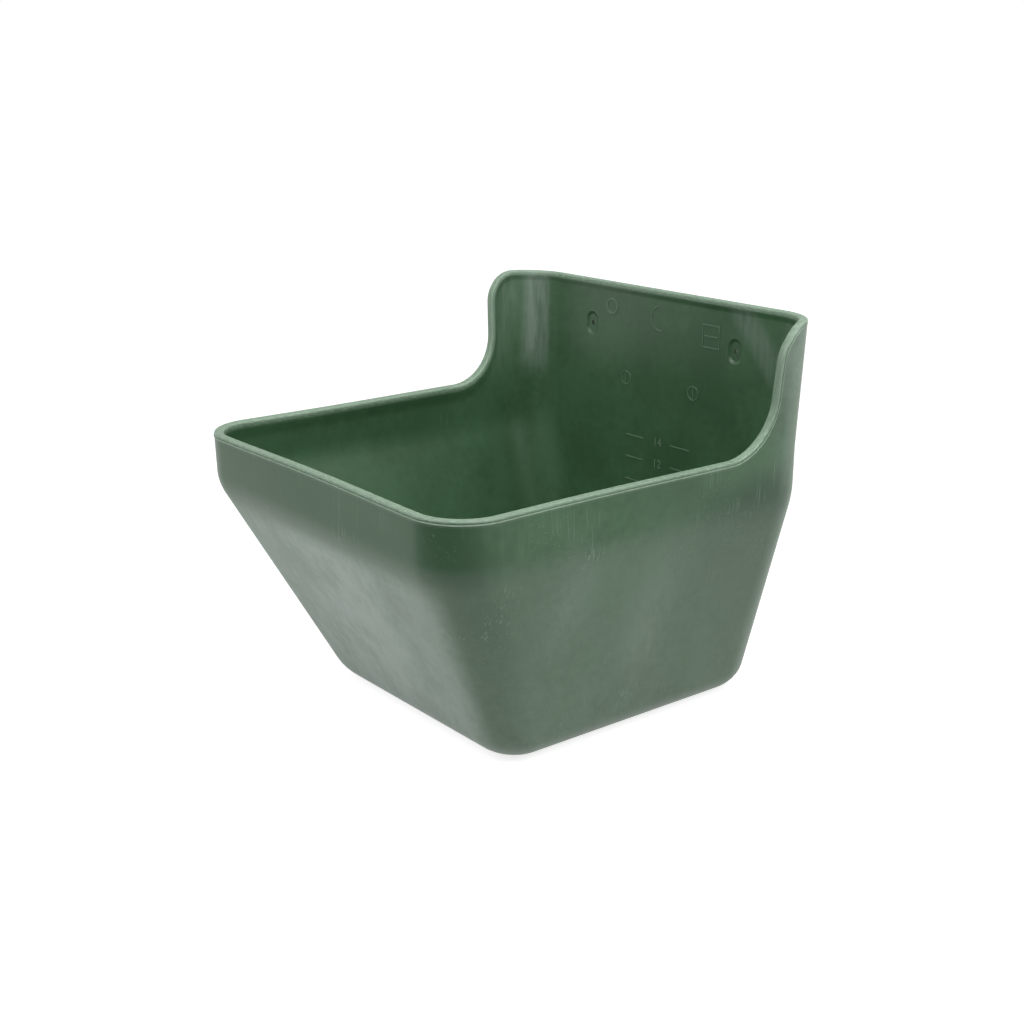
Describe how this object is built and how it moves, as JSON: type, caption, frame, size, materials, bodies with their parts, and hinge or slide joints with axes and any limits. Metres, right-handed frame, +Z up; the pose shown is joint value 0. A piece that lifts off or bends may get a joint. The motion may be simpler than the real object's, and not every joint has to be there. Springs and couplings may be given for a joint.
{
  "type": "feed trough",
  "caption": "Wall-mounted stable feed trough, a one-piece moulded plastic tub with a sloping front and a raised back plate.",
  "frame": {"origin": "centre of the overall box at floor level", "axes": "+Z up, -Y towards the sloping front, +Y out of the flat back that goes against the wall, X across the width"},
  "size_m": [0.3488, 0.3445, 0.309],
  "materials": {
    "green_polypropylene": "satin dark green moulded polypropylene, scuffed on the rim and the outer walls"
  },
  "bodies": {
    "root": {"trough_body": "green_polypropylene"}
  },
  "joints": []
}
